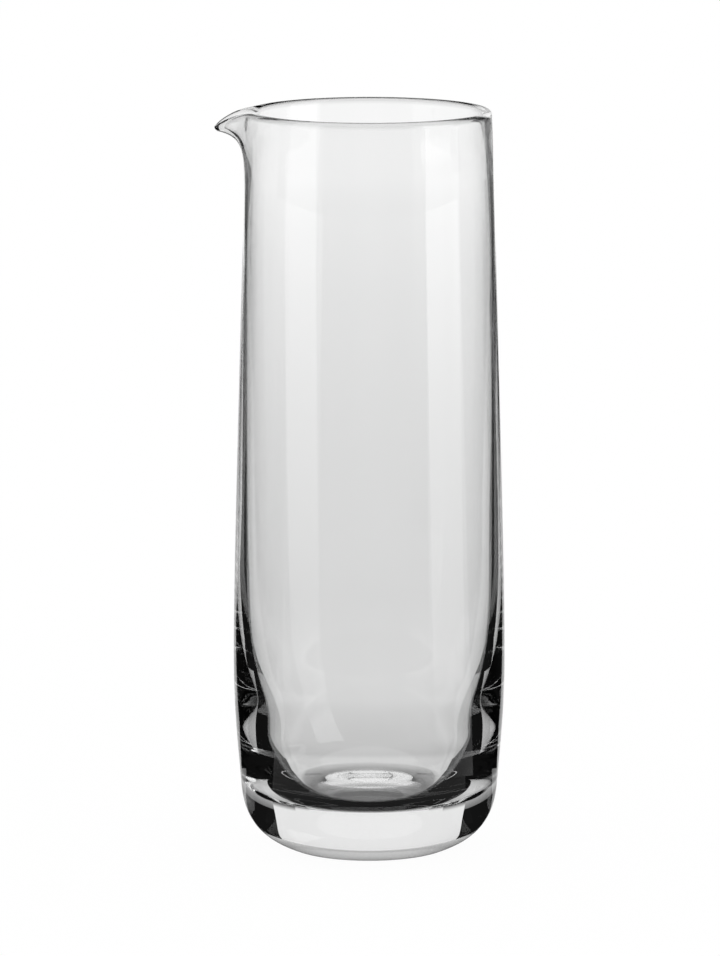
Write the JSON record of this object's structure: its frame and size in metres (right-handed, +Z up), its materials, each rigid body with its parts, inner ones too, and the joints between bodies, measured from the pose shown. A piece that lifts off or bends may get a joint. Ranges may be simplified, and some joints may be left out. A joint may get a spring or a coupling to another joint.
{
  "type": "glass carafe",
  "caption": "Tall clear glass carafe for water, with a gently tapering body, heavy rounded base, fire-polished rim and pulled pouring lip.",
  "frame": {"origin": "middle of the flat ring that the carafe stands on, at the height of the table", "axes": "+Z up along the body's axis, -X towards the pouring lip"},
  "size_m": [0.0974, 0.0916, 0.25],
  "materials": {
    "clear_glass": "clear, fire-polished"
  },
  "bodies": {
    "root": {"carafe_body": "clear_glass"}
  },
  "joints": []
}
